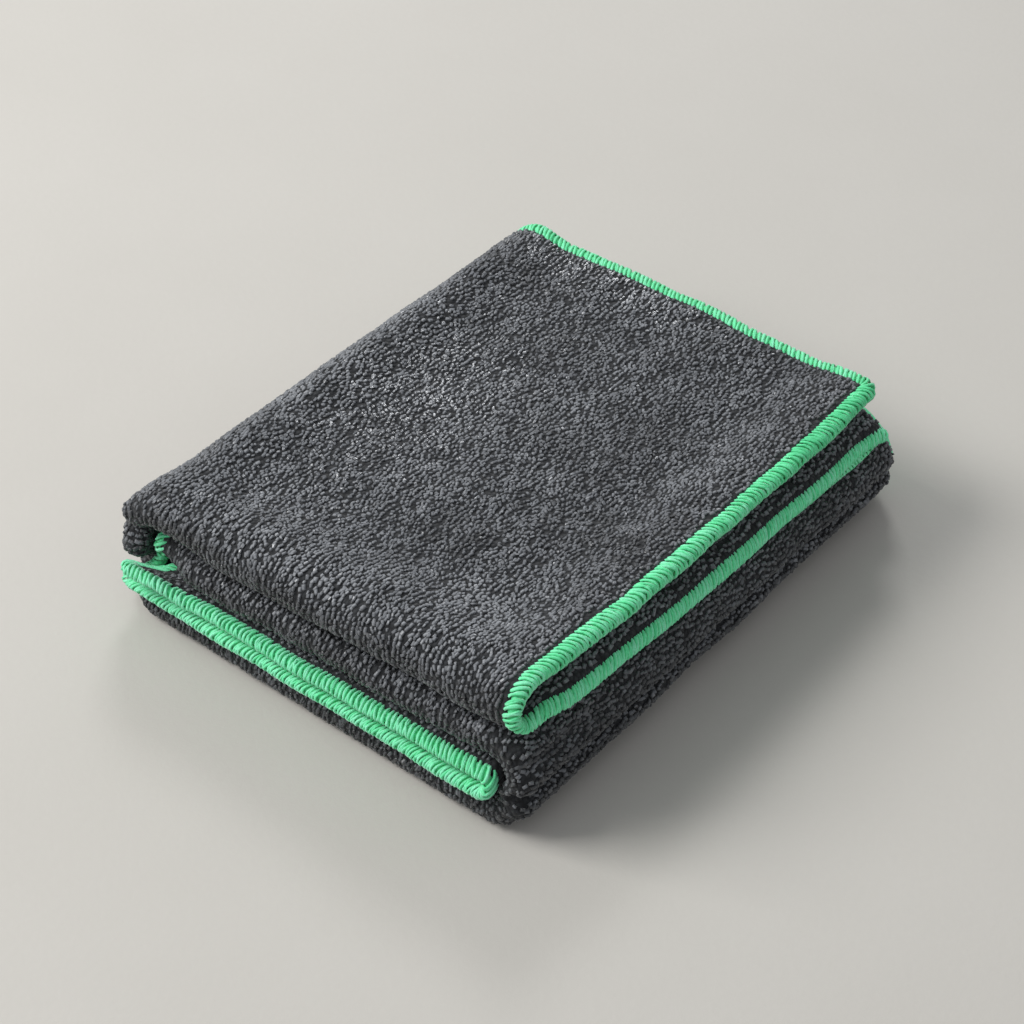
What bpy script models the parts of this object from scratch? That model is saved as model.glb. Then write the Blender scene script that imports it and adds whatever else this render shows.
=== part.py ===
"""Folded looped-pile microfibre towel with an overlocked edge.

One rectangular sheet, folded in thirds across its length into a three-sheet
strip, then the strip folded in thirds again: the right-hand third tucked in,
the left-hand third laid over the top.  Nine layers lie on one another.

The flat sheet is a slab (u, v, w): u along the strip, v across it, w through
the thickness.  fold() carries any point of the slab to its folded place and
settle() gives the pile its small unevenness, so the cloth and the thread round
its edge are one shape and can not run through each other.

Axes: +Z up, +Y towards the back, +X to the right.  Sizes below in mm.
"""
import math
import bpy
import numpy as np

# ------------------------------------------------------------------ sizes
PITCH = 5.0          # layer to layer
CLOTH_T = 3.9        # cloth with its pile
LEFT_EDGE = -71.0    # outermost faces of the two bends, along X
RIGHT_EDGE = 76.0
CORD_OUT = 2.15      # half width of the overlock seam, in the plane of the sheet
CORD_THICK = 1.92    # half thickness of the overlock seam
CORD_GAP = 0.6       # seam to cloth

# bends of the strip
LEFT_CORNER_R = 3.8                                     # innermost sheet
LEFT_X = LEFT_EDGE + CLOTH_T / 2 + LEFT_CORNER_R + 2 * PITCH   # start of the left bend
RIGHT_X = RIGHT_EDGE - CLOTH_T / 2 - 2.5 * PITCH                 # start of the right bend

# where the folded edges and the cut edges lie, row by row (y of mid surface)
#                 top row  bottom row  middle row
FRONT_FOLD = dict(top=-83.5, bottom=-84.5, middle=-83.5)
BACK_FOLD = dict(top=77.0, bottom=85.5, middle=84.5)
BACK_CUT = dict(top=78.5, bottom=84.5, middle=83.0)
FRONT_CUT = dict(top=-67.0, bottom=-84.0, middle=-83.2)

# right-hand cut edge of the three top sheets: x at the front, x at the back
CUT_RIGHT = dict(outer=(63.2, 63.0), middle=(69.5, 71.3), inner=(64.0, 74.2))
# hidden cut edge of the three middle sheets
CUT_HIDDEN = dict(outer=-49.0, middle=-50.0, inner=-51.0)
HIDDEN_HOOK = 9     # the front corner of the hidden edge reaches this much further left
CORNER_OUT = 3.0      # and this much further forward
CORNER_UP = 3.7       # and turns up a little
BOW = 2.4             # the cut edge of the outer sheet bows out in the middle

RIM_DROP = 4.6        # the top front fold is fuller than the layers behind it
RIM_RUN = 9.5        # over this length of cloth
LOBE_BACK = 9.0       # the left bend draws in at the front
CREASE = 3.5          # and has a crease where the top row turns down
CREASE_AT = 12.5
SPREAD = 1.5          # below the crease it spreads over the tucked end
TUCK = 4.0            # the hidden end of the middle front fold draws in
LIP = 6.0             # and reaches into the left bend
SHOULDER_R = 20.0     # the lower sheets of the top row hang over the right bend
FLARE = 7.5           # the innermost front edge reaches out to the left
FLARE_RUN = 9.5

# unevenness of the whole pile
#                front-left front-right back-right back-left
LEVEL = dict(fl=0.94, fr=1.10, br=0.99, bl=0.93)
FOOT_X = dict(fl=-1.0, fr=-1.0, br=-3.5, bl=3.0)
FOOT_Y = dict(fl=-1.5, fr=1.0, br=2.5, bl=-1.0)
LEAN_X = dict(fl=0.5, fr=1.0, br=1.5, bl=-1.0)
LEAN_Y = dict(fl=0.5, fr=3.0, br=-3.0, bl=-1.5)
DISH = 2.4            # the top sinks in the middle
#                depth, height, half height of each dent along the right bend
PINCH = ((3.4, 13.5, 2.3), (1.0, 5.2, 1.5))
CORNER_DENT = (1.6, 22.0, 2.0)     # one more, only near the front
HEEL = 6.5            # the foot of the left bend is squarer than its top
BACK_ROUND = 9.5      # the back end of the right bend is rounded in plan
EDGE_LIFT = 1.3       # the free edge of the top sheet stands up a little

# ------------------------------------------------------------------ lengths
ARC_C = math.pi / 2 * (LEFT_CORNER_R + PITCH)
LEFT_WALL = 4 * PITCH - 2 * LEFT_CORNER_R
LEN_TOP = CUT_RIGHT["middle"][0] + 2.0 - LEFT_X
LEN_LEFT = 2 * ARC_C + LEFT_WALL
LEN_BOTTOM = RIGHT_X - LEFT_X
LEN_RIGHT = math.pi * 1.5 * PITCH
LEN_MIDDLE = RIGHT_X - CUT_HIDDEN["middle"]
U1 = LEN_TOP
U2 = U1 + LEN_LEFT
U3 = U2 + LEN_BOTTOM
U4 = U3 + LEN_RIGHT
U_LEN = U4 + LEN_MIDDLE

R_FOLD = PITCH / 2
LEN_ROW = BACK_FOLD["middle"] - FRONT_FOLD["middle"] - PITCH
LEN_FOLD = math.pi * R_FOLD
V1 = LEN_ROW + 1.0
V2 = V1 + LEN_FOLD
V3 = V2 + LEN_ROW
V4 = V3 + LEN_FOLD
V_LEN = V4 + LEN_ROW + 1.0


def ramp(x, lo, hi):
    t = np.clip((x - lo) / (hi - lo), 0.0, 1.0)
    return t * t * (3.0 - 2.0 * t)


def by_row(u, table, lo=12.0, hi=6.0):
    """Value of a row table along u, passing smoothly from row to row."""
    a = ramp(u, U1 - lo, U2 + hi)
    b = ramp(u, U3, U4)
    return table["top"] + (table["bottom"] - table["top"]) * a + (table["middle"] - table["bottom"]) * b


def cross_section(u, v, w):
    """Thirds across the length: y, and q = offset from the strip's middle sheet."""
    front = by_row(u, FRONT_FOLD)
    lobe = ramp(u, U1 + ARC_C + 5, U1 + ARC_C + LEFT_WALL + 2) * (1 - ramp(u, U2 - 9, U2 + 1))
    crease = np.exp(-((u - U1 - CREASE_AT) / 3.0) ** 2)
    front = front + LOBE_BACK * lobe + CREASE * crease + TUCK * ramp(u, U_LEN - 13, U_LEN - 2)
    back = by_row(u, BACK_FOLD)
    back_cut = by_row(u, BACK_CUT)
    front_cut = by_row(u, FRONT_CUT, -4.0, 0.0) - CORNER_OUT * ramp(u, U_LEN - 26, U_LEN)
    drop = RIM_DROP * (1 - ramp(u, U1 - 24, U1 - 6))
    rf = R_FOLD + drop / 2
    # outer sheet
    f1 = front + rf
    y_o = back_cut + (f1 - back_cut) * (v / V1)
    y_o = np.where(v < 0, back_cut - v, y_o)
    q_o = PITCH + w
    # front fold
    th = math.pi * np.clip((v - V1) / (V2 - V1), 0, 1)
    y_f = f1 - (rf + w) * np.sin(th)
    q_f = PITCH - rf + (rf + w) * np.cos(th)
    # middle sheet
    b1 = back - R_FOLD
    y_m = f1 + (b1 - f1) * (v - V2) / (V3 - V2)
    q_m = -w - drop * (1 - ramp(v, V2, V2 + RIM_RUN))
    # back fold
    tb = math.pi * np.clip((v - V3) / (V4 - V3), 0, 1)
    y_b = b1 + (R_FOLD - w) * np.sin(tb)
    q_b = -PITCH / 2 + (R_FOLD - w) * np.cos(tb)
    # inner sheet
    y_i = b1 + (front_cut - b1) * (v - V4) / (V_LEN - V4)
    y_i = np.where(v > V_LEN, front_cut - (v - V_LEN), y_i)
    q_i = -PITCH + w
    y = np.select([v < V1, v < V2, v < V3, v < V4], [y_o, y_f, y_m, y_b], y_i)
    q = np.select([v < V1, v < V2, v < V3, v < V4], [q_o, q_f, q_m, q_b], q_i)
    ahead = np.where(v > V4, FRONT_FOLD["bottom"] + LOBE_BACK - CLOTH_T / 2 - 0.8 - y, 0.0)
    return y, q, ahead


def by_sheet(v, outer, middle, inner, run=14.0):
    a = ramp(v, V1 - run * 0.4, V2 + run)
    b = ramp(v, V3 - run, V4 + run)
    return outer + (middle - outer) * a + (inner - middle) * b


def fold(u, v, w):
    """Flat slab (u, v, w) to the ideal folded pile (x, y, z)."""
    u, v, w = np.broadcast_arrays(np.asarray(u, float), np.asarray(v, float), np.asarray(w, float))
    y, q, ahead = cross_section(u, v, w)
    s, soon = ramp(y, -80.0, 80.0), ramp(y, -84.0, -10.0)
    ends = [a + (b - a) * k for (a, b), k in ((CUT_RIGHT["outer"], s), (CUT_RIGHT["middle"], soon), (CUT_RIGHT["inner"], s))]
    ends[0] = ends[0] + BOW * (1 - (np.clip(y, -80.0, 80.0) / 80.0) ** 2)
    start = by_sheet(v, *ends)
    hook = HIDDEN_HOOK * ramp(ahead, 0.0, FLARE_RUN)
    lip = LIP * ramp(-y, 72.0, 78.0) * ramp(v, V1 - 20, V1 - 8) * (1 - ramp(v, V2 + 8, V2 + 20))
    end = by_sheet(v, CUT_HIDDEN["outer"], CUT_HIDDEN["middle"], CUT_HIDDEN["inner"]) - hook - lip
    # top row, read from its cut edge leftwards
    x_t = start + (LEFT_X - start) * (u / U1)
    x_t = np.where(u < 0, start - u, x_t)
    past = np.clip(x_t - RIGHT_X, 0.0, None)
    hang = past * ramp(v, V1, V2 + 4) * ramp(y, -84.0, -70.0) / SHOULDER_R
    x_t = np.minimum(x_t, RIGHT_X) + past * np.sinc(hang / math.pi) + q * np.sin(hang)
    z_t = 7.5 * PITCH + q * np.cos(hang) - past * hang / 2 * np.sinc(hang / (2 * math.pi)) ** 2
    # left bend: corner, wall, corner
    rho = LEFT_CORNER_R + PITCH + q
    d = u - U1
    p1 = np.clip(d / ARC_C, 0, 1) * math.pi / 2
    p2 = np.clip((d - ARC_C - LEFT_WALL) / ARC_C, 0, 1) * math.pi / 2
    wall = np.clip((d - ARC_C) / LEFT_WALL, 0, 1)
    zc1 = 6.5 * PITCH - LEFT_CORNER_R
    x_l = LEFT_X - rho * np.where(d < ARC_C, np.sin(p1), np.cos(p2))
    z_l = np.where(d < ARC_C, zc1 + rho * np.cos(p1), zc1 - LEFT_WALL * wall - rho * np.sin(p2))
    # bottom row
    x_b = LEFT_X + (RIGHT_X - LEFT_X) * (u - U2) / (U3 - U2)
    z_b = 1.5 * PITCH - q
    # right bend
    pr = np.clip((u - U3) / (U4 - U3), 0, 1) * math.pi
    x_r = RIGHT_X + (1.5 * PITCH + q) * np.sin(pr)
    z_r = 3 * PITCH - (1.5 * PITCH + q) * np.cos(pr)
    # middle row
    x_m = RIGHT_X + (end - RIGHT_X) * (u - U4) / (U_LEN - U4)
    x_m = np.where(u > U_LEN, end - (u - U_LEN), x_m)
    z_m = 4.5 * PITCH + q + CORNER_UP * ramp(ahead, 4.0, 11.0) * ramp(u, U_LEN - 18, U_LEN - 6)
    pick = [u < U1, u < U2, u < U3, u < U4]
    x = np.select(pick, [x_t, x_l, x_b, x_r], x_m)
    z = np.select(pick, [z_t, z_l, z_b, z_r], z_m)
    flare = FLARE * ramp(ahead, 0.0, FLARE_RUN) * ramp(u, U1 + 20, U1 + 28) * (1 - ramp(u, U2 - 6, U2 + 14))
    spread = SPREAD * ramp(-y, 78.0, 84.0) * ramp(u, U1 + 13, U1 + 18) * (1 - ramp(u, U1 + 20, U1 + 25))
    x = x - flare + spread
    return x, y, z - (PITCH - CLOTH_T) / 2


def corners(x, y, t):
    a = np.clip((x + 70.0) / 140.0, 0, 1)
    b = np.clip((y + 84.0) / 168.0, 0, 1)
    return (t["fl"] * (1 - a) + t["fr"] * a) * (1 - b) + (t["bl"] * (1 - a) + t["br"] * a) * b


def settle(x, y, z):
    """Small unevenness of the whole pile; one smooth shift for every point."""
    full = 8 * PITCH + CLOTH_T
    h = np.clip(z / full, 0, 1.1)
    dent = sum(a * np.exp(-((z - b) / c) ** 2) for a, b, c in PINCH)
    a, b, c = CORNER_DENT
    dent = dent + a * np.exp(-((z - b) / c) ** 2) * (1 - ramp(y, -78.0, -40.0))
    x1 = x - dent * ramp(x, 64.0, 73.0)
    x1 = x1 - HEEL * (1 - ramp(z, 3.0, 15.0)) * ramp(-x, 44.0, 64.0)
    x1 = x1 - BACK_ROUND * ramp(y, 81.5, 92.0) * ramp(x, 40.0, 66.0) * (1 - ramp(z, 27.0, 33.0))
    inner = ramp(x, -64, -30) * (1 - ramp(x, 34, 62)) * ramp(y, -80, -48) * (1 - ramp(y, 46, 78))
    z1 = z * corners(x, y, LEVEL) - DISH * h * inner
    z1 = z1 + EDGE_LIFT * ramp(z, 7.8 * PITCH, 8.6 * PITCH) * ramp(x, 44.0, 62.0)
    x2 = x1 + corners(x, y, FOOT_X) + h * corners(x, y, LEAN_X)
    y2 = y + corners(x, y, FOOT_Y) + h * corners(x, y, LEAN_Y)
    return x2, y2, z1


def place(u, v, w):
    x, y, z = settle(*fold(u, v, w))
    return np.stack([x, y, z], -1) * 0.001


def lines(*runs):
    """Grid lines: (start, end, parts) joined end to end."""
    out = [runs[0][0]]
    for a, b, n in runs:
        out += [a + (b - a) * i / n for i in range(1, n + 1)]
    return np.array(out)


U_LINES = lines((0, 10, 1), (10, U1 - 36, 4), (U1 - 36, U1, 4), (U1, U1 + ARC_C, 6), (U1 + ARC_C, U2 - ARC_C, 4),
                (U2 - ARC_C, U2, 6), (U2, U2 + 14, 3), (U2 + 14, U3, 3), (U3, U4, 11), (U4, U_LEN - 22, 3), (U_LEN - 22, U_LEN, 4))
V_LINES = lines((0, 5, 1), (5, 13, 1), (13, V1 - 4, 5), (V1 - 4, V1, 1), (V1, V2, 5), (V2, V2 + RIM_RUN, 3), (V2 + RIM_RUN, V3 - 10, 4), (V3 - 10, V3, 1),
                (V3, V4, 6), (V4, V4 + 10, 1), (V4 + 10, V_LEN - FLARE_RUN, 3), (V_LEN - FLARE_RUN, V_LEN, 3))


def material(name, rgb, rough):
    m = bpy.data.materials.new(name)
    m.use_nodes = True
    b = m.node_tree.nodes["Principled BSDF"]
    b.inputs["Base Color"].default_value = (*rgb, 1.0)
    b.inputs["Roughness"].default_value = rough
    m.diffuse_color = (*rgb, 1.0)
    return m


def add(name, verts, faces, mat, home):
    me = bpy.data.meshes.new(name)
    me.from_pydata([tuple(p) for p in verts], [], faces)
    me.update()
    ob = bpy.data.objects.new(name, me)
    ob.data.materials.append(mat)
    home.objects.link(ob)
    return ob


def cloth_shell():
    """Both faces of the slab on one grid, closed round its four edges."""
    nu, nv = len(U_LINES), len(V_LINES)
    uu, vv = np.meshgrid(U_LINES, V_LINES, indexing="ij")
    pts = np.concatenate([place(uu, vv, w).reshape(-1, 3) for w in (CLOTH_T / 2, -CLOTH_T / 2)])
    n = nu * nv
    at = lambda i, j: i * nv + j
    faces = []
    for i in range(nu - 1):
        for j in range(nv - 1):
            a, b, c, d = at(i, j), at(i + 1, j), at(i + 1, j + 1), at(i, j + 1)
            faces.append((a, b, c, d))
            faces.append((n + a, n + d, n + c, n + b))
    loop = [at(i, 0) for i in range(nu)] + [at(nu - 1, j) for j in range(1, nv)]
    loop += [at(i, nv - 1) for i in range(nu - 2, -1, -1)] + [at(0, j) for j in range(nv - 2, 0, -1)]
    for k, a in enumerate(loop):
        b = loop[(k + 1) % len(loop)]
        faces.append((b, a, n + a, n + b))
    return pts, faces


def seam_tube(sides=8, corner_parts=3):
    """Closed tube round the whole edge of the sheet."""
    out = CORD_GAP + CORD_OUT
    path = []
    path += [(u, 0.0, 0.0, -1.0) for u in U_LINES]
    turn = [(U_LEN, 0.0, -90.0), (U_LEN, V_LEN, 0.0), (0.0, V_LEN, 90.0), (0.0, 0.0, 180.0)]
    sides_pts = [[(U_LEN, v, 1.0, 0.0) for v in V_LINES], [(u, V_LEN, 0.0, 1.0) for u in U_LINES[::-1]],
                 [(0.0, v, -1.0, 0.0) for v in V_LINES[::-1]], []]
    for (cu, cv, a0), nxt in zip(turn, sides_pts):
        for k in range(1, corner_parts):
            a = math.radians(a0 + 90.0 * k / corner_parts)
            path.append((cu, cv, math.cos(a), math.sin(a)))
        path += nxt
    path = np.array(path)
    ring = []
    for k in range(sides):
        a = 2 * math.pi * (k + 0.5) / sides
        reach = out + CORD_OUT * math.cos(a) / math.cos(math.pi / sides)
        up = CORD_THICK * math.sin(a) / math.cos(math.pi / sides)
        ring.append(place(path[:, 0] + path[:, 2] * reach, path[:, 1] + path[:, 3] * reach, up))
    pts = np.stack(ring, 1).reshape(-1, 3)
    m = len(path)
    faces = []
    for i in range(m):
        j = (i + 1) % m
        for k in range(sides):
            l = (k + 1) % sides
            faces.append((i * sides + k, j * sides + k, j * sides + l, i * sides + l))
    return pts, faces


for ob in list(bpy.data.objects):
    bpy.data.objects.remove(ob, do_unlink=True)

home = bpy.data.collections.new("cooling_towel")
bpy.context.scene.collection.children.link(home)

pts, faces = cloth_shell()
seam, seam_faces = seam_tube()
low = float(pts[:, 2].min())
mid_x = float(min(pts[:, 0].min(), seam[:, 0].min()) + max(pts[:, 0].max(), seam[:, 0].max())) / 2
mid_y = float(min(pts[:, 1].min(), seam[:, 1].min()) + max(pts[:, 1].max(), seam[:, 1].max())) / 2
shift = np.array([mid_x, mid_y, low])
add("towel_cloth", pts - shift, faces, material("charcoal_terry", (0.055, 0.058, 0.064), 0.95), home)
add("overlock_edging", seam - shift, seam_faces, material("green_thread", (0.07, 0.62, 0.22), 0.7), home)
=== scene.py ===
"""Folded cooling towel: looped charcoal microfibre, green overlocked edge."""
import math
import bpy
import numpy as np
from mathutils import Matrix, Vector


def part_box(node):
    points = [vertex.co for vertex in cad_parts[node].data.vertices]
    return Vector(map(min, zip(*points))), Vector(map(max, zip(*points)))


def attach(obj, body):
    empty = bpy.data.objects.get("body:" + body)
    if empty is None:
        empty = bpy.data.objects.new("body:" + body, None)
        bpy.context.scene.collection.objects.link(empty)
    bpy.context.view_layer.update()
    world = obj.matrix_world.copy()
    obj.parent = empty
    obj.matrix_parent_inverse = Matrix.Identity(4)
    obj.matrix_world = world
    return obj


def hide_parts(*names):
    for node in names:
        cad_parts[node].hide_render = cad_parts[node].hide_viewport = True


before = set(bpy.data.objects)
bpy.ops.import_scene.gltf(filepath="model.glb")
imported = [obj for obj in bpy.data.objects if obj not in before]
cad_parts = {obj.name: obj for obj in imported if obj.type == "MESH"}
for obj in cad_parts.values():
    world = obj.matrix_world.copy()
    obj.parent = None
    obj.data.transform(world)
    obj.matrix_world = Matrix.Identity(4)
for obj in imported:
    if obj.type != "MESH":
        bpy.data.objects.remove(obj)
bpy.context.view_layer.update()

# ------------------------------------------------------------------ sizes
PITCH = 5.0          # layer to layer
CLOTH_T = 3.9        # cloth with its pile
LEFT_EDGE = -71.0    # outermost faces of the two bends, along X
RIGHT_EDGE = 76.0
CORD_OUT = 2.15      # half width of the overlock seam, in the plane of the sheet
CORD_THICK = 1.92    # half thickness of the overlock seam
CORD_GAP = 0.6       # seam to cloth

# bends of the strip
LEFT_CORNER_R = 3.8                                     # innermost sheet
LEFT_X = LEFT_EDGE + CLOTH_T / 2 + LEFT_CORNER_R + 2 * PITCH   # start of the left bend
RIGHT_X = RIGHT_EDGE - CLOTH_T / 2 - 2.5 * PITCH                 # start of the right bend

# where the folded edges and the cut edges lie, row by row (y of mid surface)
#                 top row  bottom row  middle row
FRONT_FOLD = dict(top=-83.5, bottom=-84.5, middle=-83.5)
BACK_FOLD = dict(top=77.0, bottom=85.5, middle=84.5)
BACK_CUT = dict(top=78.5, bottom=84.5, middle=83.0)
FRONT_CUT = dict(top=-67.0, bottom=-84.0, middle=-83.2)

# right-hand cut edge of the three top sheets: x at the front, x at the back
CUT_RIGHT = dict(outer=(63.2, 63.0), middle=(69.5, 71.3), inner=(64.0, 74.2))
# hidden cut edge of the three middle sheets
CUT_HIDDEN = dict(outer=-49.0, middle=-50.0, inner=-51.0)
HIDDEN_HOOK = 9     # the front corner of the hidden edge reaches this much further left
CORNER_OUT = 3.0      # and this much further forward
CORNER_UP = 3.7       # and turns up a little
BOW = 2.4             # the cut edge of the outer sheet bows out in the middle

RIM_DROP = 4.6        # the top front fold is fuller than the layers behind it
RIM_RUN = 9.5        # over this length of cloth
LOBE_BACK = 9.0       # the left bend draws in at the front
CREASE = 3.5          # and has a crease where the top row turns down
CREASE_AT = 12.5
SPREAD = 1.5          # below the crease it spreads over the tucked end
TUCK = 4.0            # the hidden end of the middle front fold draws in
LIP = 6.0             # and reaches into the left bend
SHOULDER_R = 20.0     # the lower sheets of the top row hang over the right bend
FLARE = 7.5           # the innermost front edge reaches out to the left
FLARE_RUN = 9.5

# unevenness of the whole pile
#                front-left front-right back-right back-left
LEVEL = dict(fl=0.94, fr=1.10, br=0.99, bl=0.93)
FOOT_X = dict(fl=-1.0, fr=-1.0, br=-3.5, bl=3.0)
FOOT_Y = dict(fl=-1.5, fr=1.0, br=2.5, bl=-1.0)
LEAN_X = dict(fl=0.5, fr=1.0, br=1.5, bl=-1.0)
LEAN_Y = dict(fl=0.5, fr=3.0, br=-3.0, bl=-1.5)
DISH = 2.4            # the top sinks in the middle
#                depth, height, half height of each dent along the right bend
PINCH = ((3.4, 13.5, 2.3), (1.0, 5.2, 1.5))
CORNER_DENT = (1.6, 22.0, 2.0)     # one more, only near the front
HEEL = 6.5            # the foot of the left bend is squarer than its top
BACK_ROUND = 9.5      # the back end of the right bend is rounded in plan
EDGE_LIFT = 1.3       # the free edge of the top sheet stands up a little

# ------------------------------------------------------------------ lengths
ARC_C = math.pi / 2 * (LEFT_CORNER_R + PITCH)
LEFT_WALL = 4 * PITCH - 2 * LEFT_CORNER_R
LEN_TOP = CUT_RIGHT["middle"][0] + 2.0 - LEFT_X
LEN_LEFT = 2 * ARC_C + LEFT_WALL
LEN_BOTTOM = RIGHT_X - LEFT_X
LEN_RIGHT = math.pi * 1.5 * PITCH
LEN_MIDDLE = RIGHT_X - CUT_HIDDEN["middle"]
U1 = LEN_TOP
U2 = U1 + LEN_LEFT
U3 = U2 + LEN_BOTTOM
U4 = U3 + LEN_RIGHT
U_LEN = U4 + LEN_MIDDLE

R_FOLD = PITCH / 2
LEN_ROW = BACK_FOLD["middle"] - FRONT_FOLD["middle"] - PITCH
LEN_FOLD = math.pi * R_FOLD
V1 = LEN_ROW + 1.0
V2 = V1 + LEN_FOLD
V3 = V2 + LEN_ROW
V4 = V3 + LEN_FOLD
V_LEN = V4 + LEN_ROW + 1.0


def ramp(x, lo, hi):
    t = np.clip((x - lo) / (hi - lo), 0.0, 1.0)
    return t * t * (3.0 - 2.0 * t)


def by_row(u, table, lo=12.0, hi=6.0):
    """Value of a row table along u, passing smoothly from row to row."""
    a = ramp(u, U1 - lo, U2 + hi)
    b = ramp(u, U3, U4)
    return table["top"] + (table["bottom"] - table["top"]) * a + (table["middle"] - table["bottom"]) * b


def cross_section(u, v, w):
    """Thirds across the length: y, and q = offset from the strip's middle sheet."""
    front = by_row(u, FRONT_FOLD)
    lobe = ramp(u, U1 + ARC_C + 5, U1 + ARC_C + LEFT_WALL + 2) * (1 - ramp(u, U2 - 9, U2 + 1))
    crease = np.exp(-((u - U1 - CREASE_AT) / 3.0) ** 2)
    front = front + LOBE_BACK * lobe + CREASE * crease + TUCK * ramp(u, U_LEN - 13, U_LEN - 2)
    back = by_row(u, BACK_FOLD)
    back_cut = by_row(u, BACK_CUT)
    front_cut = by_row(u, FRONT_CUT, -4.0, 0.0) - CORNER_OUT * ramp(u, U_LEN - 26, U_LEN)
    drop = RIM_DROP * (1 - ramp(u, U1 - 24, U1 - 6))
    rf = R_FOLD + drop / 2
    # outer sheet
    f1 = front + rf
    y_o = back_cut + (f1 - back_cut) * (v / V1)
    y_o = np.where(v < 0, back_cut - v, y_o)
    q_o = PITCH + w
    # front fold
    th = math.pi * np.clip((v - V1) / (V2 - V1), 0, 1)
    y_f = f1 - (rf + w) * np.sin(th)
    q_f = PITCH - rf + (rf + w) * np.cos(th)
    # middle sheet
    b1 = back - R_FOLD
    y_m = f1 + (b1 - f1) * (v - V2) / (V3 - V2)
    q_m = -w - drop * (1 - ramp(v, V2, V2 + RIM_RUN))
    # back fold
    tb = math.pi * np.clip((v - V3) / (V4 - V3), 0, 1)
    y_b = b1 + (R_FOLD - w) * np.sin(tb)
    q_b = -PITCH / 2 + (R_FOLD - w) * np.cos(tb)
    # inner sheet
    y_i = b1 + (front_cut - b1) * (v - V4) / (V_LEN - V4)
    y_i = np.where(v > V_LEN, front_cut - (v - V_LEN), y_i)
    q_i = -PITCH + w
    y = np.select([v < V1, v < V2, v < V3, v < V4], [y_o, y_f, y_m, y_b], y_i)
    q = np.select([v < V1, v < V2, v < V3, v < V4], [q_o, q_f, q_m, q_b], q_i)
    ahead = np.where(v > V4, FRONT_FOLD["bottom"] + LOBE_BACK - CLOTH_T / 2 - 0.8 - y, 0.0)
    return y, q, ahead


def by_sheet(v, outer, middle, inner, run=14.0):
    a = ramp(v, V1 - run * 0.4, V2 + run)
    b = ramp(v, V3 - run, V4 + run)
    return outer + (middle - outer) * a + (inner - middle) * b


def fold(u, v, w):
    """Flat slab (u, v, w) to the ideal folded pile (x, y, z)."""
    u, v, w = np.broadcast_arrays(np.asarray(u, float), np.asarray(v, float), np.asarray(w, float))
    y, q, ahead = cross_section(u, v, w)
    s, soon = ramp(y, -80.0, 80.0), ramp(y, -84.0, -10.0)
    ends = [a + (b - a) * k for (a, b), k in ((CUT_RIGHT["outer"], s), (CUT_RIGHT["middle"], soon), (CUT_RIGHT["inner"], s))]
    ends[0] = ends[0] + BOW * (1 - (np.clip(y, -80.0, 80.0) / 80.0) ** 2)
    start = by_sheet(v, *ends)
    hook = HIDDEN_HOOK * ramp(ahead, 0.0, FLARE_RUN)
    lip = LIP * ramp(-y, 72.0, 78.0) * ramp(v, V1 - 20, V1 - 8) * (1 - ramp(v, V2 + 8, V2 + 20))
    end = by_sheet(v, CUT_HIDDEN["outer"], CUT_HIDDEN["middle"], CUT_HIDDEN["inner"]) - hook - lip
    # top row, read from its cut edge leftwards
    x_t = start + (LEFT_X - start) * (u / U1)
    x_t = np.where(u < 0, start - u, x_t)
    past = np.clip(x_t - RIGHT_X, 0.0, None)
    hang = past * ramp(v, V1, V2 + 4) * ramp(y, -84.0, -70.0) / SHOULDER_R
    x_t = np.minimum(x_t, RIGHT_X) + past * np.sinc(hang / math.pi) + q * np.sin(hang)
    z_t = 7.5 * PITCH + q * np.cos(hang) - past * hang / 2 * np.sinc(hang / (2 * math.pi)) ** 2
    # left bend: corner, wall, corner
    rho = LEFT_CORNER_R + PITCH + q
    d = u - U1
    p1 = np.clip(d / ARC_C, 0, 1) * math.pi / 2
    p2 = np.clip((d - ARC_C - LEFT_WALL) / ARC_C, 0, 1) * math.pi / 2
    wall = np.clip((d - ARC_C) / LEFT_WALL, 0, 1)
    zc1 = 6.5 * PITCH - LEFT_CORNER_R
    x_l = LEFT_X - rho * np.where(d < ARC_C, np.sin(p1), np.cos(p2))
    z_l = np.where(d < ARC_C, zc1 + rho * np.cos(p1), zc1 - LEFT_WALL * wall - rho * np.sin(p2))
    # bottom row
    x_b = LEFT_X + (RIGHT_X - LEFT_X) * (u - U2) / (U3 - U2)
    z_b = 1.5 * PITCH - q
    # right bend
    pr = np.clip((u - U3) / (U4 - U3), 0, 1) * math.pi
    x_r = RIGHT_X + (1.5 * PITCH + q) * np.sin(pr)
    z_r = 3 * PITCH - (1.5 * PITCH + q) * np.cos(pr)
    # middle row
    x_m = RIGHT_X + (end - RIGHT_X) * (u - U4) / (U_LEN - U4)
    x_m = np.where(u > U_LEN, end - (u - U_LEN), x_m)
    z_m = 4.5 * PITCH + q + CORNER_UP * ramp(ahead, 4.0, 11.0) * ramp(u, U_LEN - 18, U_LEN - 6)
    pick = [u < U1, u < U2, u < U3, u < U4]
    x = np.select(pick, [x_t, x_l, x_b, x_r], x_m)
    z = np.select(pick, [z_t, z_l, z_b, z_r], z_m)
    flare = FLARE * ramp(ahead, 0.0, FLARE_RUN) * ramp(u, U1 + 20, U1 + 28) * (1 - ramp(u, U2 - 6, U2 + 14))
    spread = SPREAD * ramp(-y, 78.0, 84.0) * ramp(u, U1 + 13, U1 + 18) * (1 - ramp(u, U1 + 20, U1 + 25))
    x = x - flare + spread
    return x, y, z - (PITCH - CLOTH_T) / 2


def corners(x, y, t):
    a = np.clip((x + 70.0) / 140.0, 0, 1)
    b = np.clip((y + 84.0) / 168.0, 0, 1)
    return (t["fl"] * (1 - a) + t["fr"] * a) * (1 - b) + (t["bl"] * (1 - a) + t["br"] * a) * b


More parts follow.
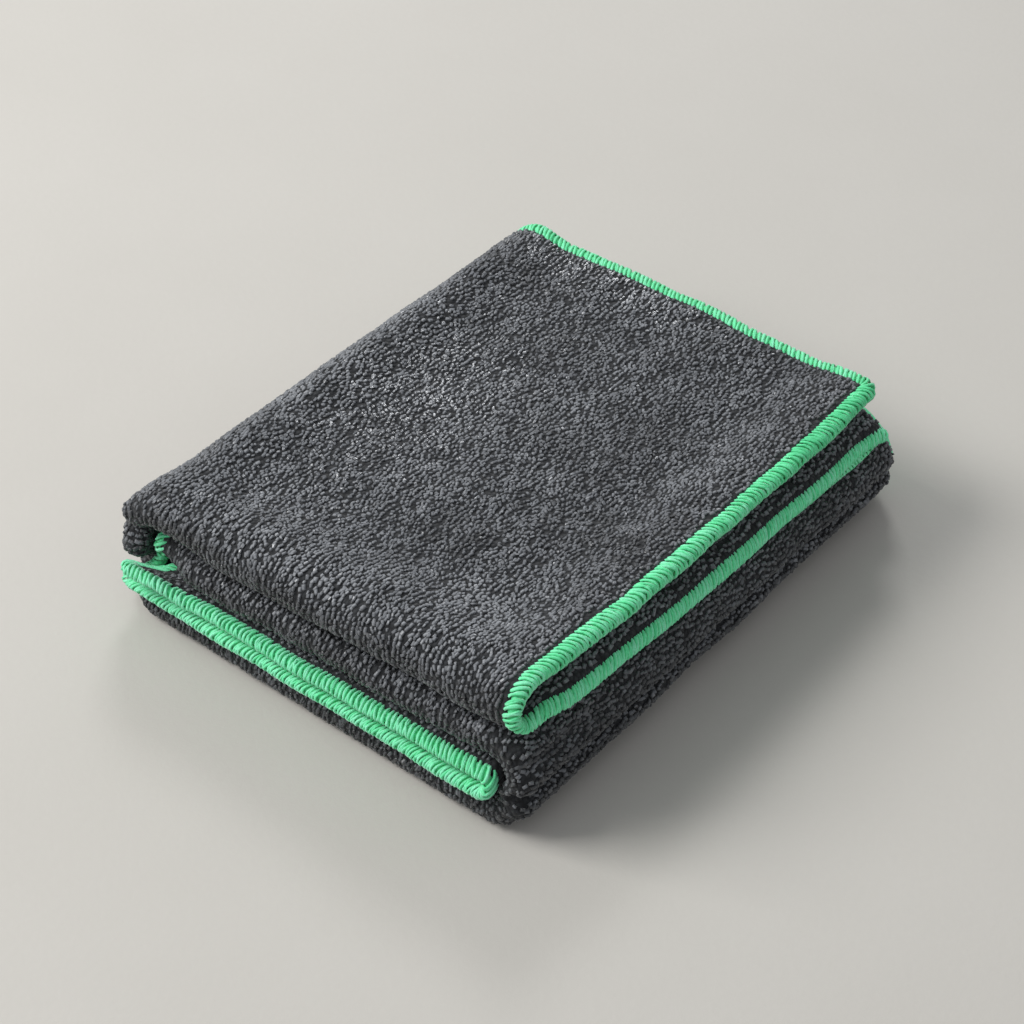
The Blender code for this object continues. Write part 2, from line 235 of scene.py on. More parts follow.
def settle(x, y, z):
    """Small unevenness of the whole pile; one smooth shift for every point."""
    full = 8 * PITCH + CLOTH_T
    h = np.clip(z / full, 0, 1.1)
    dent = sum(a * np.exp(-((z - b) / c) ** 2) for a, b, c in PINCH)
    a, b, c = CORNER_DENT
    dent = dent + a * np.exp(-((z - b) / c) ** 2) * (1 - ramp(y, -78.0, -40.0))
    x1 = x - dent * ramp(x, 64.0, 73.0)
    x1 = x1 - HEEL * (1 - ramp(z, 3.0, 15.0)) * ramp(-x, 44.0, 64.0)
    x1 = x1 - BACK_ROUND * ramp(y, 81.5, 92.0) * ramp(x, 40.0, 66.0) * (1 - ramp(z, 27.0, 33.0))
    inner = ramp(x, -64, -30) * (1 - ramp(x, 34, 62)) * ramp(y, -80, -48) * (1 - ramp(y, 46, 78))
    z1 = z * corners(x, y, LEVEL) - DISH * h * inner
    z1 = z1 + EDGE_LIFT * ramp(z, 7.8 * PITCH, 8.6 * PITCH) * ramp(x, 44.0, 62.0)
    x2 = x1 + corners(x, y, FOOT_X) + h * corners(x, y, LEAN_X)
    y2 = y + corners(x, y, FOOT_Y) + h * corners(x, y, LEAN_Y)
    return x2, y2, z1


def place(u, v, w):
    x, y, z = settle(*fold(u, v, w))
    return np.stack([x, y, z], -1) * 0.001


def lines(*runs):
    """Grid lines: (start, end, parts) joined end to end."""
    out = [runs[0][0]]
    for a, b, n in runs:
        out += [a + (b - a) * i / n for i in range(1, n + 1)]
    return np.array(out)


U_LINES = lines((0, 10, 1), (10, U1 - 36, 4), (U1 - 36, U1, 4), (U1, U1 + ARC_C, 6), (U1 + ARC_C, U2 - ARC_C, 4),
                (U2 - ARC_C, U2, 6), (U2, U2 + 14, 3), (U2 + 14, U3, 3), (U3, U4, 11), (U4, U_LEN - 22, 3), (U_LEN - 22, U_LEN, 4))
V_LINES = lines((0, 5, 1), (5, 13, 1), (13, V1 - 4, 5), (V1 - 4, V1, 1), (V1, V2, 5), (V2, V2 + RIM_RUN, 3), (V2 + RIM_RUN, V3 - 10, 4), (V3 - 10, V3, 1),
                (V3, V4, 6), (V4, V4 + 10, 1), (V4 + 10, V_LEN - FLARE_RUN, 3), (V_LEN - FLARE_RUN, V_LEN, 3))


# The same fold as the CAD, so the pieces below land where its solids are.
_u, _v = np.meshgrid(U_LINES, V_LINES, indexing="ij")
_all = np.concatenate([place(_u, _v, w).reshape(-1, 3) for w in (CLOTH_T / 2, -CLOTH_T / 2)])
SHIFT = _all.min(0) - np.array(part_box("towel_cloth")[0])
rng = np.random.default_rng(41)


def waves(a, b, seed, scale):
    """Smooth noise, about -1 to 1, over two lengths in mm."""
    r = np.random.default_rng(seed)
    out = 0.0
    for _ in range(7):
        ang, ph = r.uniform(0, math.pi), r.uniform(0, 2 * math.pi)
        k = 2 * math.pi / (scale * r.uniform(0.6, 1.7))
        out = out + np.sin(k * (math.cos(ang) * a + math.sin(ang) * b) + ph)
    return out / 3.2


def spot(u, v, w):
    """A point of the flat cloth in the folded pile, in metres, with the soft unevenness of the real cloth."""
    x, y, z = fold(u, v, w)
    full = 8 * PITCH + CLOTH_T
    top = ramp(z, 6.4 * PITCH, 8.6 * PITCH)
    z = z + top * (0.40 * waves(x, y, 3, 34.0) + 0.22 * waves(x, y, 4, 13.0))
    z = z + top * (1.3 * np.exp(-((y + 73) / 7) ** 2) - 1.2 * np.exp(-((y + 56) / 10) ** 2)) * (1 - ramp(x, 50, 62))
    z = z + top * (0.9 * np.exp(-((x + 58) / 7) ** 2) - 0.8 * np.exp(-((x + 42) / 9) ** 2)) * ramp(y, -70, -55)
    z = z - top * 1.0 * np.exp(-((x - 44) / 8) ** 2) * ramp(y, -60, -40)
    side = ramp(np.abs(y), 66, 86) * (1 - 0.6 * ramp(z, 0, 3.0) * 0)
    y = y + side * 0.45 * waves(x, z * 2.0, 5, 30.0) * ramp(z, 2.0, 9.0)
    x = x + ramp(np.abs(x), 50, 72) * 0.45 * waves(y, z * 2.0, 6, 34.0) * ramp(z, 2.0, 9.0)
    side = ramp(x, 64.0, 73.0)
    x = x - side * (3.0 * np.exp(-((z - 13.4) / 1.25) ** 2) + 1.9 * np.exp(-((z - 5.2) / 0.9) ** 2))
    x, y, z = settle(x, y, z)
    return np.stack([x, y, z], -1) * 0.001 - SHIFT


def mesh_object(name, verts, faces, mat, smooth=True):
    """faces: (n, 3) or (n, 4) array."""
    me = bpy.data.meshes.new(name)
    verts = np.asarray(verts, dtype=np.float32)
    faces = np.asarray(faces, dtype=np.int32)
    n, k = faces.shape
    me.vertices.add(len(verts))
    me.vertices.foreach_set("co", verts.ravel())
    me.loops.add(n * k)
    me.loops.foreach_set("vertex_index", faces.ravel())
    me.polygons.add(n)
    me.polygons.foreach_set("loop_start", np.arange(n, dtype=np.int32) * k)
    me.polygons.foreach_set("loop_total", np.full(n, k, dtype=np.int32))
    me.polygons.foreach_set("use_smooth", np.broadcast_to(smooth, n).copy())
    me.update(calc_edges=True)
    me.validate()
    ob = bpy.data.objects.new(name, me)
    me.materials.append(mat)
    bpy.context.scene.collection.objects.link(ob)
    return ob


def point_value(ob, name, values):
    at = ob.data.attributes.new(name, "FLOAT", "POINT")
    at.data.foreach_set("value", np.asarray(values, dtype=np.float32))


# ------------------------------------------------------------------ materials
def shader(name):
    m = bpy.data.materials.new(name)
    m.use_nodes = True
    nt = m.node_tree
    return m, nt, nt.nodes["Principled BSDF"]


def node(nt, kind, **kw):
    n = nt.nodes.new(kind)
    for k, v in kw.items():
        setattr(n, k, v)
    return n


def ramp_node(nt, source, stops):
    r = node(nt, "ShaderNodeValToRGB")
    el = r.color_ramp.elements
    while len(el) < len(stops):
        el.new(0.5)
    for e, (p, c) in zip(el, stops):
        e.position, e.color = p, (*c, 1.0)
    nt.links.new(source, r.inputs[0])
    return r.outputs["Color"]


def noise(nt, coord, scale, detail=2.0, rough=0.5):
    n = node(nt, "ShaderNodeTexNoise")
    n.inputs["Scale"].default_value = scale
    n.inputs["Detail"].default_value = detail
    n.inputs["Roughness"].default_value = rough
    nt.links.new(coord, n.inputs["Vector"])
    return n.outputs["Fac"]


def mix(nt, fac, a, b, blend="MIX"):
    m = node(nt, "ShaderNodeMix", data_type="RGBA", blend_type=blend)
    if isinstance(fac, (int, float)):
        m.inputs[0].default_value = fac
    else:
        nt.links.new(fac, m.inputs[0])
    for s, i in ((a, 6), (b, 7)):
        if isinstance(s, tuple):
            m.inputs[i].default_value = (*s, 1.0)
        else:
            nt.links.new(s, m.inputs[i])
    return m.outputs[2]


def maths(nt, op, a, b=0.5):
    m = node(nt, "ShaderNodeMath", operation=op)
    for s, i in ((a, 0), (b, 1)):
        if isinstance(s, (int, float)):
            m.inputs[i].default_value = s
        else:
            nt.links.new(s, m.inputs[i])
    return m.outputs[0]


def scale_to(nt, value, lo, hi):
    m = node(nt, "ShaderNodeMapRange")
    m.inputs["To Min"].default_value, m.inputs["To Max"].default_value = lo, hi
    nt.links.new(value, m.inputs["Value"])
    return m.outputs["Result"]


def bump(nt, height, strength, distance, under=None):
    b = node(nt, "ShaderNodeBump")
    b.inputs["Strength"].default_value = strength
    b.inputs["Distance"].default_value = distance
    nt.links.new(height, b.inputs["Height"])
    if under is not None:
        nt.links.new(under, b.inputs["Normal"])
    return b.outputs["Normal"]


def pile_material():
    """Loops of charcoal microfibre: each its own tone, with painted shade darkening each loop towards its root so the
    tips read greyer, some tips worn smooth.
    """
    m, nt, b = shader("charcoal_loops")
    obj = node(nt, "ShaderNodeTexCoord").outputs["Object"]
    tone = node(nt, "ShaderNodeAttribute", attribute_name="tone").outputs["Fac"]
    tip = node(nt, "ShaderNodeAttribute", attribute_name="tip").outputs["Fac"]
    shine = node(nt, "ShaderNodeAttribute", attribute_name="shine").outputs["Fac"]
    fine = noise(nt, obj, 2600.0, 3.0, 0.7)
    col = ramp_node(nt, tone, [(0.0, (0.036, 0.039, 0.044)), (0.5, (0.160, 0.172, 0.192)), (1.0, (0.310, 0.328, 0.356))])
    # painted shade: every loop darkened towards its root, where the loops shade one another
    col = mix(nt, scale_to(nt, tip, 0.86, 0.0), col, (0.008, 0.009, 0.010))
    col = mix(nt, scale_to(nt, fine, 0.0, 0.55), col, (0.040, 0.043, 0.048), "MIX")
    nt.links.new(col, b.inputs["Base Color"])
    nt.links.new(scale_to(nt, shine, 0.50, 0.22), b.inputs["Roughness"])
    nt.links.new(scale_to(nt, shine, 0.50, 1.0), b.inputs["Specular IOR Level"])
    b.inputs["Sheen Weight"].default_value = 0.25
    b.inputs["Sheen Roughness"].default_value = 0.45
    nt.links.new(bump(nt, fine, 0.55, 0.00012), b.inputs["Normal"])
    return m


def ground_material():
    """The knitted ground under the loops, with the loops themselves as bump where none stand."""
    m, nt, b = shader("charcoal_ground")
    obj = node(nt, "ShaderNodeTexCoord").outputs["Object"]
    vor = node(nt, "ShaderNodeTexVoronoi", feature="SMOOTH_F1")
    vor.inputs["Scale"].default_value = 720.0
    vor.inputs["Smoothness"].default_value = 0.3
    nt.links.new(obj, vor.inputs["Vector"])
    fine = noise(nt, obj, 2400.0, 3.0, 0.7)
    # painted shade: the charcoal darkened under the loops, lighter on each bumped loop and darkest in the gaps between
    # them
    col = ramp_node(nt, vor.outputs["Distance"], [(0.0, (0.042, 0.045, 0.051)), (0.45, (0.020, 0.022, 0.025)), (0.9, (0.005, 0.0055, 0.0065))])
    col = mix(nt, scale_to(nt, fine, 0.0, 0.5), col, (0.016, 0.017, 0.019))
    nt.links.new(col, b.inputs["Base Color"])
    b.inputs["Roughness"].default_value = 0.85
    b.inputs["Specular IOR Level"].default_value = 0.25
    b.inputs["Sheen Weight"].default_value = 0.15
    high = maths(nt, "MULTIPLY", vor.outputs["Distance"], -1.0)
    nt.links.new(bump(nt, fine, 0.5, 0.00012, bump(nt, high, 1.0, 0.0007)), b.inputs["Normal"])
    return m


def thread_material(name, dark, mid, light):
    m, nt, b = shader(name)
    obj = node(nt, "ShaderNodeTexCoord").outputs["Object"]
    tone = node(nt, "ShaderNodeAttribute", attribute_name="tone").outputs["Fac"]
    big = noise(nt, obj, 160.0, 2.0)
    fine = noise(nt, obj, 1900.0, 3.0, 0.75)
    col = ramp_node(nt, tone, [(0.0, dark), (0.5, mid), (1.0, light)])
    col = mix(nt, scale_to(nt, fine, -0.35, 0.75), col, dark)
    col = mix(nt, scale_to(nt, big, 0.0, 0.35), col, mid)
    nt.links.new(col, b.inputs["Base Color"])
    nt.links.new(scale_to(nt, fine, 0.55, 0.8), b.inputs["Roughness"])
    b.inputs["Specular IOR Level"].default_value = 0.3
    b.inputs["Sheen Weight"].default_value = 0.7
    b.inputs["Sheen Tint"].default_value = (0.75, 1.0, 0.85, 1.0)
    b.inputs["Sheen Roughness"].default_value = 0.4
    nt.links.new(bump(nt, fine, 0.8, 0.0002), b.inputs["Normal"])
    return m


MAT_PILE = pile_material()
MAT_GROUND = ground_material()
MAT_THREAD = thread_material("green_overlock", (0.050, 0.52, 0.21), (0.165, 0.90, 0.44), (0.36, 0.98, 0.68))

# ------------------------------------------------------------------ ground cloth
HALF_GROUND = 1.45


def ground_cloth():
    into = 2.4
    us = np.concatenate([[-into], np.linspace(0, U1, 46), np.linspace(U1, U2, 26)[1:], np.linspace(U2, U3, 30)[1:],
                         np.linspace(U3, U4, 22)[1:], np.linspace(U4, U_LEN, 28)[1:], [U_LEN + into]])
    vs = np.concatenate([[-into], np.linspace(0, V1, 44), np.linspace(V1, V2, 12)[1:], np.linspace(V2, V3, 40)[1:],
                         np.linspace(V3, V4, 10)[1:], np.linspace(V4, V_LEN, 42)[1:], [V_LEN + into]])
    uu, vv = np.meshgrid(us, vs, indexing="ij")
    half = np.full(uu.shape, HALF_GROUND)
    half[0, :] = half[-1, :] = 0.85
    half[:, 0] = half[:, -1] = 0.85
    nu, nv = uu.shape
    pts = np.concatenate([spot(uu, vv, half).reshape(-1, 3), spot(uu, vv, -half).reshape(-1, 3)])
    n = nu * nv
    idx = np.arange(n).reshape(nu, nv)
    a, b, c, d = idx[:-1, :-1].ravel(), idx[1:, :-1].ravel(), idx[1:, 1:].ravel(), idx[:-1, 1:].ravel()
    loop = np.concatenate([idx[:, 0], idx[-1, 1:], idx[-2::-1, -1], idx[0, -2:0:-1]])
    nxt = np.roll(loop, -1)
    faces = np.concatenate([np.stack([a, b, c, d], 1), np.stack([n + a, n + d, n + c, n + b], 1),
                            np.stack([nxt, loop, n + loop, n + nxt], 1)])
    return mesh_object("towel_ground", pts, faces, MAT_GROUND)


# ------------------------------------------------------------------ loops of the pile
ROW = 1.60     # rows of loops, across
GRAIN = 1.42   # loops along a row
RING = 4


def grain_template():
    """A rice-grain bump: three rings, flat on its tip and closed below."""
    verts, tips = [], []
    for r, h, t in ((0.98, -0.42, 0.0), (0.90, 0.18, 0.45), (0.52, 0.60, 1.0)):
        for k in range(RING):
            a = 2 * math.pi * (k + 0.5) / RING
            verts.append((1.16 * r * math.cos(a), 1.16 * r * math.sin(a), h))
            tips.append(t)
    faces = []
    for i in range(2):
        for k in range(RING):
            l = (k + 1) % RING
            faces += [(i * RING + k, i * RING + l, i * RING + RING + l), (i * RING + k, i * RING + RING + l, i * RING + RING + k)]
    sides = len(faces)
    faces += [(2 * RING, 2 * RING + k, 2 * RING + k + 1) for k in range(1, RING - 1)]
    faces += [(0, k + 1, k) for k in range(1, RING - 1)]
    return np.array(verts), np.array(faces), np.array(tips), np.arange(len(faces)) < sides


T_VERTS, T_FACES, T_TIPS, T_SMOOTH = grain_template()


def even(lo, hi, step, length_of):
    """Values from lo to hi that are an even step apart along the real surface."""
    t = np.linspace(lo, hi, 600)
    run = np.concatenate([[0], np.cumsum(length_of(t))])
    n = max(1, int(round(run[-1] / step)))
    return np.interp((np.arange(n) + 0.5) / n * run[-1], run, t)


def grain_field(u0, u1, v0, v1, side, um=None, vm=None, fine=0.95):
    """u, v of every loop of one field of the cloth, rows along v."""
    w = side * 1.8
    um = (u0 + u1) / 2 if um is None else um
    vm = (v0 + v1) / 2 if vm is None else vm
    lu = lambda t: np.linalg.norm(np.diff(spot(t, np.full_like(t, vm), w), axis=0), axis=1) * 1000
    lv = lambda t: np.linalg.norm(np.diff(spot(np.full_like(t, um), t, w), axis=0), axis=1) * 1000
    us, vs = even(u0, u1, ROW * fine, lu), even(v0, v1, GRAIN * fine, lv)
    du = (u1 - u0) / len(us)
    dv = np.gradient(vs) if len(vs) > 1 else np.array([v1 - v0])
    uu, vv = np.meshgrid(us, vs, indexing="ij")
    shift = (np.arange(len(us)) % 2)[:, None] * 0.5 + rng.uniform(-0.34, 0.34, uu.shape)
    vv = vv + shift * dv[None, :] - 0.25 * dv[None, :]
    duu = np.gradient(us)[:, None] if len(us) > 1 else du
    uu = uu + duu * (0.55 * waves(uu, vv, 11, 9.0) + 0.35 * waves(uu, vv, 12, 4.5) + rng.uniform(-0.26, 0.26, uu.shape))
    keep = (uu > u0 - 0.3) & (uu < u1 + 0.3) & (vv > v0 - 0.3) & (vv < v1 + 0.3) & (rng.random(uu.shape) > 0.025)
    return uu[keep], vv[keep], np.full(keep.sum(), float(side))


def grains(name, fields, mat, fine=0.95):
    u, v, side = (np.concatenate(a) for a in zip(*fields))
    base = HALF_GROUND + 0.05
    w = side * (base + rng.uniform(-0.10, 0.12, len(u)))
    e = 0.05
    p = spot(u, v, w)
    tv = spot(u, v + e, w) - spot(u, v - e, w)
    tu = spot(u + e, v, w) - spot(u - e, v, w)
    tv /= np.linalg.norm(tv, axis=1, keepdims=True)
    nn = np.cross(tu, tv)
    nn /= np.linalg.norm(nn, axis=1, keepdims=True)
    out = spot(u, v, w + side * 0.05) - spot(u, v, w)
    nn *= np.sign(np.einsum("ij,ij->i", nn, out))[:, None]
    # lean and turn
    wild = (u < U1) & (v > 6) & (v < V1 - 10)
    ang = rng.normal(0, 1, len(u)) * np.where(wild, 0.75, 0.34) + np.where(wild, 0.6, 0.25) * waves(u, v, 21, 14.0)
    tb = np.cross(nn, tv)
    f1 = tv * np.cos(ang)[:, None] + tb * np.sin(ang)[:, None]
    lean = rng.normal(0, 0.23, (len(u), 2)) + np.stack([0.10 + 0.12 * waves(u, v, 22, 22.0), 0.12 * waves(u, v, 23, 18.0)], 1)
    x, y = p[:, 0] * 1000, p[:, 1] * 1000
    worn = shine_at(x, y) * (p[:, 2] > 0.7 * cad_box_top)
    shine = np.clip(rng.random(len(u)) * 1.3 - 0.45 + worn, 0, 1) * (rng.random(len(u)) < 0.22 + 0.55 * worn)
    lean *= (1 - 0.60 * np.clip(shine * worn * 1.5, 0, 1))[:, None]
    f3 = nn + f1 * lean[:, :1] + np.cross(nn, f1) * lean[:, 1:]
    f3 /= np.linalg.norm(f3, axis=1, keepdims=True)
    f1 = f1 - f3 * np.einsum("ij,ij->i", f1, f3)[:, None]
    f1 /= np.linalg.norm(f1, axis=1, keepdims=True)
    f2 = np.cross(f3, f1)
    # away: how far each loop's face turns from up; it also sets the side loops' tone darker below, as painted shade
    away = np.clip(1.25 - nn[:, 2] * 1.6, 0, 1)
    size = fine * rng.uniform(0.80, 1.20, len(u)) * (1 + 0.10 * away * np.clip(nn[:, 0], 0, 1))
    la = 0.92 * size * rng.uniform(0.84, 1.22, len(u)) * 0.001
    lb = 0.60 * size * rng.uniform(0.86, 1.14, len(u)) * 0.001
    lc = 0.80 * rng.uniform(0.76, 1.18, len(u)) * 0.001
    bend = rng.normal(0, 0.30, len(u)) * 0.001
    t = T_VERTS
    pts = (p[:, None, :] + f1[:, None, :] * (la[:, None] * t[None, :, 0])[..., None]
           + f2[:, None, :] * (lb[:, None] * t[None, :, 1] + bend[:, None] * t[None, :, 0] ** 2)[..., None]
           + f3[:, None, :] * (lc[:, None] * t[None, :, 2])[..., None])
    pts[..., 2] = np.maximum(pts[..., 2], 0.00015)
    k = len(t)
    faces = (T_FACES[None] + (np.arange(len(u)) * k)[:, None, None]).reshape(-1, 3)
    ob = mesh_object(name, pts.reshape(-1, 3), faces, mat, smooth=np.tile(T_SMOOTH, len(u)))
    tone = np.clip(0.5 + 0.14 * rng.normal(0, 1, len(u)) + 0.16 * waves(u, v, 31, 40.0) + 0.10 * waves(u, v, 32, 11.0), 0, 1)
    # on the top, painted sheen in three pale patches and painted shade in one hollow; loops on the sides, turned away
    # from up, darkened as painted shade
    tone = np.clip(tone + (p[:, 2] > 0.7 * cad_box_top) * painted_sheen_and_shade_at(x, y) - 0.42 * away, 0, 1)
    point_value(ob, "tone", np.repeat(tone, k))
    point_value(ob, "shine", np.repeat(shine, k))
    point_value(ob, "tip", np.tile(T_TIPS, len(u)))
    return ob


cad_box_top = float(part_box("towel_cloth")[1][2])


def shine_at(x, y):
    """Two patches of the top where the tips are worn smooth."""
    a = np.exp(-(((x + 27) / 40) ** 2 + ((y - 73) / 8.5) ** 2))
    b = np.exp(-(((x + 34) / 24) ** 2 + ((y - 0) / 42) ** 2))
    return np.clip(1.25 * a + 1.05 * b, 0, 1)


def painted_sheen_and_shade_at(x, y):
    """Painted sheen: a paler tone by the front right corner, along the front and in the middle; painted shade: darker
    in one hollow.
    """
    a = np.exp(-(((x - 46) / 22) ** 2 + ((y + 66) / 20) ** 2))
    b = np.exp(-(((x + 10) / 45) ** 2 + ((y + 70) / 14) ** 2))
    c = np.exp(-(((x + 36) / 20) ** 2 + ((y + 16) / 34) ** 2))
    d = np.exp(-(((x - 50) / 20) ** 2 + ((y + 18) / 17) ** 2))
    return 0.38 * a + 0.22 * b + 0.16 * c - 0.24 * d


top_u = U1 * 0.5
ground = ground_cloth()
PILE = []
PILE.append(grains("pile_top_back", [grain_field(0.1, U1, 0.1, V1 / 2, 1, um=top_u, fine=0.85)], MAT_PILE, fine=0.86))
PILE.append(grains("pile_top_front", [grain_field(0.1, U1, V1 / 2, V1, 1, um=top_u, fine=0.85)], MAT_PILE, fine=0.86))
PILE.append(grains("pile_left", [grain_field(U1, U2, 0.1, V1, 1), grain_field(U1, U2, V1, V2 + 3.0, 1)], MAT_PILE))
PILE.append(grains("pile_right", [grain_field(U3, U4, 0.1, V1, 1), grain_field(U3, U4, V1, V2 + 3.0, 1)], MAT_PILE))
PILE.append(grains("pile_folds", [
    grain_field(0.1, U1, V1, V2 + 5.0, 1, um=top_u),
    grain_field(U2, U3, V1 - 4.0, V2 + 3.0, 1), grain_field(U2, U3, 0.1, 6.0, 1),
    grain_field(U4, U_LEN - 1.6, V1 - 7.0, V2 + 4.0, 1),
    grain_field(U4, U_LEN - 1.6, V_LEN - 11.0, V_LEN - 0.2, 1),
    grain_field(0.1, 13.0, V2, V3, -1, um=1.5, vm=V2 + 60), grain_field(0.1, U1, V3 - 3.0, V4 + 3.0, -1),
    grain_field(U2, U3, V3 - 3.0, V4 + 3.0, -1), grain_field(U4, U_LEN - 1.6, V3 - 3.0, V4 + 3.0, -1),
    grain_field(U3, U4, V3 - 3.0, V4 + 3.0, -1),
], MAT_PILE))

# ------------------------------------------------------------------ overlock
STITCH = 1.48


def edge_path(n=24):
    """Round the edge of the sheet: u, v on the cloth's edge and the way out of it."""
    rows = []
    us = np.linspace(0, U_LEN, 900)
    vs = np.linspace(0, V_LEN, 1100)
    rows += [(u, 0.0, 0.0, -1.0) for u in us]
    def turn(cu, cv, a0):
        return [(cu, cv, math.cos(math.radians(a0 + 90.0 * k / n)), math.sin(math.radians(a0 + 90.0 * k / n))) for k in range(1, n)]
    rows += turn(U_LEN, 0.0, -90.0) + [(U_LEN, v, 1.0, 0.0) for v in vs]
    rows += turn(U_LEN, V_LEN, 0.0) + [(u, V_LEN, 0.0, 1.0) for u in us[::-1]]
    rows += turn(0.0, V_LEN, 90.0) + [(0.0, v, -1.0, 0.0) for v in vs[::-1]]
    rows += turn(0.0, 0.0, 180.0)
    rows = np.array(rows)
    out = CORD_GAP + CORD_OUT
    p = spot(rows[:, 0] + rows[:, 2] * out, rows[:, 1] + rows[:, 3] * out, 0.0) * 1000
    step = np.linalg.norm(np.roll(p, -1, axis=0) - p, axis=1)
    run = np.concatenate([[0], np.cumsum(step)])
    return np.concatenate([rows, rows[:1]]), run


PATH, RUN = edge_path()


def on_path(s):
    s = np.mod(s, RUN[-1])
    c = [np.interp(s, RUN, PATH[:, i]) for i in range(4)]
    l = np.hypot(c[2], c[3])
    return c[0], c[1], c[2] / l, c[3] / l


def seam_point(s, a, reach_r, up_r):
    u, v, ou, ov = on_path(s)
    reach = CORD_GAP + CORD_OUT - 0.25 + reach_r * np.cos(a)
    return spot(u + ou * reach, v + ov * reach, up_r * np.sin(a))


def fullness(s):
    """The seam is a little fuller on the free edge on top and flatter where it lies under it."""
    u, v, ou, ov = on_path(s)
    at_end = ramp(-ou, 0.5, 1.0)
    return 1.0 + 0.10 * at_end * (1 - ramp(v, V1 - 8, V2 + 8)) - 0.17 * at_end * ramp(v, V1 + 4, V2 + 16) * (1 - ramp(v, V3 - 4, V3 + 4))


def overlock(name, side):
    """One thread of every stitch; two threads lie side by side."""
    r = np.random.default_rng(70 + side)
    count = int(round(RUN[-1] / STITCH))
    pitch = RUN[-1] / count
    s0 = (np.arange(count) + np.random.default_rng(7).uniform(-0.13, 0.13, count)) * pitch
    s0 = s0 + side * 0.27 + r.uniform(-0.05, 0.05, count)
    n, m = 12, 4
    a = np.linspace(0, 2 * math.pi, n, endpoint=False)[None, :] + 0.0 * s0[:, None]
    rr = (CORD_OUT + 0.18) * ((1 + r.uniform(-0.05, 0.06, count)) * fullness(s0))[:, None]
    ur = (CORD_THICK - 0.36) * ((1 + r.uniform(-0.06, 0.06, count)) * fullness(s0))[:, None]
    slant = 0.80 * pitch * np.cos(a + 0.3 * side) * (1 + r.uniform(-0.45, 0.45, count))[:, None]
    s = s0[:, None] + slant
    c = seam_point(s, a, rr, ur)
    tan = np.roll(c, -1, axis=1) - np.roll(c, 1, axis=1)
    tan /= np.linalg.norm(tan, axis=2, keepdims=True)
    rad = c - c.mean(axis=1, keepdims=True)
    rad -= tan * np.einsum("ijk,ijk->ij", rad, tan)[..., None]
    rad /= np.linalg.norm(rad, axis=2, keepdims=True)
    bi = np.cross(tan, rad)
    half = 0.47 * (1 + r.uniform(-0.12, 0.12, count))[:, None, None] * 0.001
    thick = 0.42 * 0.001
    rings = []
    for k in range(m):
        q = 2 * math.pi * k / m
        rings.append(c + bi * half * math.sin(q) + rad * thick * math.cos(q))
    pts = np.stack(rings, 2)
    idx = np.arange(count * n * m).reshape(count, n, m)
    nx, up = np.roll(idx, -1, axis=1), np.roll(idx, -1, axis=2)
    nu = np.roll(nx, -1, axis=2)
    faces = np.stack([idx, up, nu, nx], -1).reshape(-1, 4)
    ob = mesh_object(name, pts.reshape(-1, 3), faces, MAT_THREAD)
    at = c.mean(axis=1) * 1000
    # painted light on the seam low along the front edge, painted shade on the seam high on the right side towards the
    # back
    painted_light_and_shade = 0.32 * np.clip((-82 - at[:, 1]) / 6, 0, 1) * (at[:, 2] < 26) - 0.34 * np.clip(at[:, 1] / 60, 0, 1) * (at[:, 0] > 60) * (at[:, 2] > 36)
    tone = np.clip(0.5 + painted_light_and_shade[:, None] + r.normal(0, 0.15, (count, 1)) + r.normal(0, 0.12, (count, n)), 0, 1)
    # painted light and shade: each thread lighter on its outer side and darker on the side turned towards the core
    shade = tone[:, :, None] + np.array([0.22 * math.cos(2 * math.pi * k / m) for k in range(m)])[None, None, :]
    point_value(ob, "tone", np.clip(shade, 0, 1).ravel())
    return ob


def seam_core():
    s = np.linspace(0, RUN[-1], 700, endpoint=False)
    sides = 8
    pts = np.stack([seam_point(s, np.full_like(s, 2 * math.pi * k / sides), CORD_OUT - 0.30, CORD_THICK - 0.58) for k in range(sides)], 1)
    idx = np.arange(len(s) * sides).reshape(len(s), sides)
    nx, up = np.roll(idx, -1, axis=0), np.roll(idx, -1, axis=1)
    nu = np.roll(nx, -1, axis=1)
    ob = mesh_object("overlock_core", pts.reshape(-1, 3), np.stack([idx, nx, nu, up], -1).reshape(-1, 4), MAT_THREAD)
    point_value(ob, "tone", np.full(len(s) * sides, 0.45))
    return ob


stitches = overlock("overlock_stitches", -1)
stitches_b = overlock("overlock_stitches_b", 1)
core = seam_core()

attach(ground, "root")
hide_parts("towel_cloth")
for ob in PILE:
    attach(ob, "root")
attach(stitches, "root")
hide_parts("overlock_edging")
for ob in (stitches_b, core):
    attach(ob, "root")

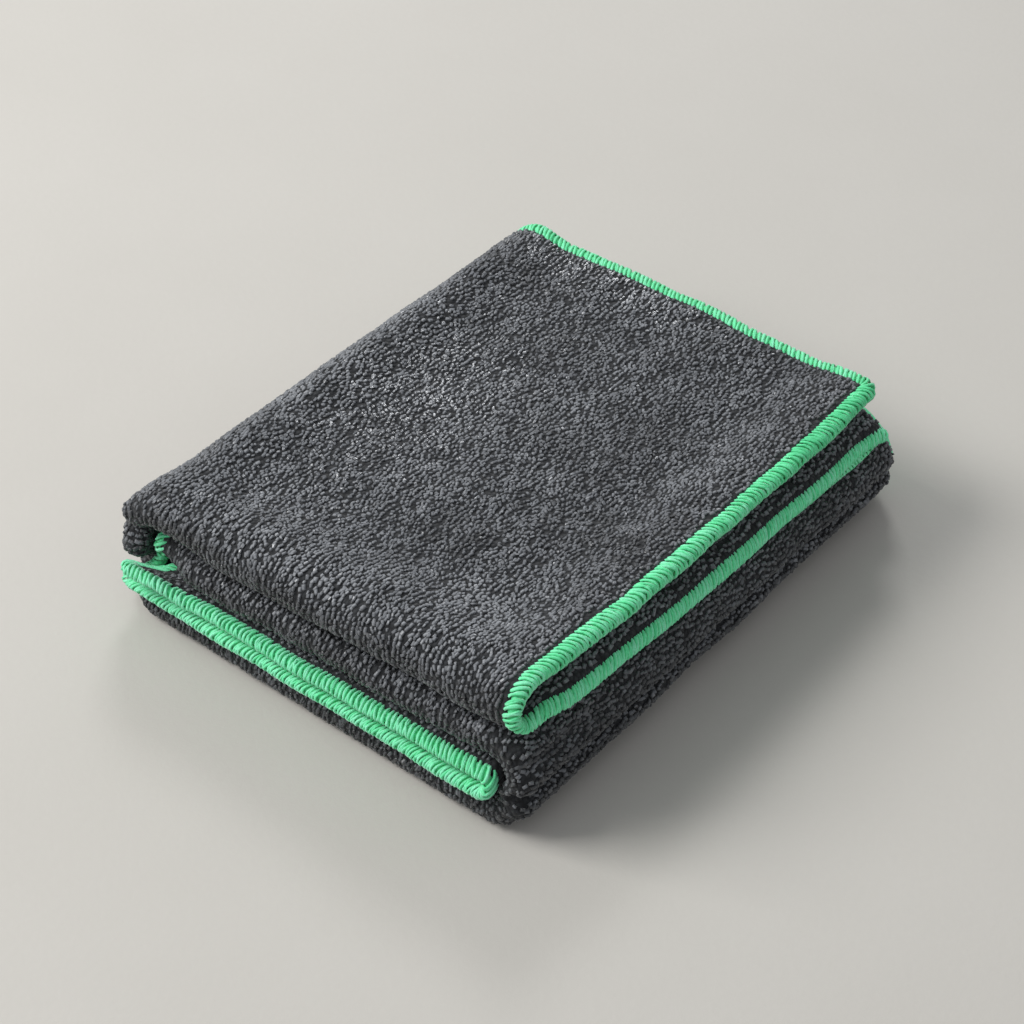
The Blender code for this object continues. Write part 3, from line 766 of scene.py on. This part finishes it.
# ------------------------------------------------------------------ floor, light, camera
def floor_material():
    m, nt, b = shader("pale_floor")
    obj = node(nt, "ShaderNodeTexCoord").outputs["Object"]
    big = noise(nt, obj, 9.0, 4.0, 0.6)
    fine = noise(nt, obj, 420.0, 3.0, 0.6)
    col = mix(nt, big, (0.520, 0.503, 0.468), (0.575, 0.558, 0.525))
    col = mix(nt, scale_to(nt, fine, 0.0, 0.3), col, (0.50, 0.485, 0.45))
    nt.links.new(col, b.inputs["Base Color"])
    b.inputs["Roughness"].default_value = 0.85
    b.inputs["Specular IOR Level"].default_value = 0.2
    nt.links.new(bump(nt, fine, 0.15, 0.0004), b.inputs["Normal"])
    return m


floor = mesh_object("floor", [(-6, -6, 0), (6, -6, 0), (6, 6, 0), (-6, 6, 0)], [(0, 1, 2, 3)], floor_material(), smooth=False)


def area_light(name, at, aim, size, power, colour=(1, 1, 1)):
    l = bpy.data.lights.new(name, "AREA")
    l.shape, l.size, l.energy, l.color = "SQUARE", size, power, colour
    ob = bpy.data.objects.new(name, l)
    bpy.context.scene.collection.objects.link(ob)
    ob.location = at
    ob.rotation_euler = (Vector(aim) - Vector(at)).to_track_quat("-Z", "Y").to_euler()
    return ob


area_light("key", (-0.98, -0.70, 1.10), (0, 0, 0), 0.80, 23.0, (1.0, 0.985, 0.96))
area_light("back_left", (-0.80, 1.02, 1.18), (0, 0, 0), 0.40, 7.5, (0.98, 0.99, 1.0))
world = bpy.data.worlds.new("studio")
bpy.context.scene.world = world
world.use_nodes = True
world.node_tree.nodes["Background"].inputs["Color"].default_value = (0.95, 0.97, 1.0, 1.0)
world.node_tree.nodes["Background"].inputs["Strength"].default_value = 0.46

cam = bpy.data.cameras.new("camera")
cam.sensor_width, cam.lens, cam.clip_start = 36.0, 98.44, 0.01
camera = bpy.data.objects.new("camera", cam)
bpy.context.scene.collection.objects.link(camera)
camera.location = (0.37449, -0.44570, 0.5526)
az, el = math.radians(130.093), math.radians(42.76)
look = Vector((math.cos(el) * math.cos(az), math.cos(el) * math.sin(az), -math.sin(el)))
camera.rotation_euler = look.to_track_quat("-Z", "Y").to_euler()
bpy.context.scene.camera = camera
bpy.context.scene.view_settings.view_transform = "Standard"
bpy.context.scene.view_settings.look = "None"

print("triangles", {o.name: sum(len(p.vertices) - 2 for p in o.data.polygons) for o in [ground, stitches, stitches_b, core] + PILE})
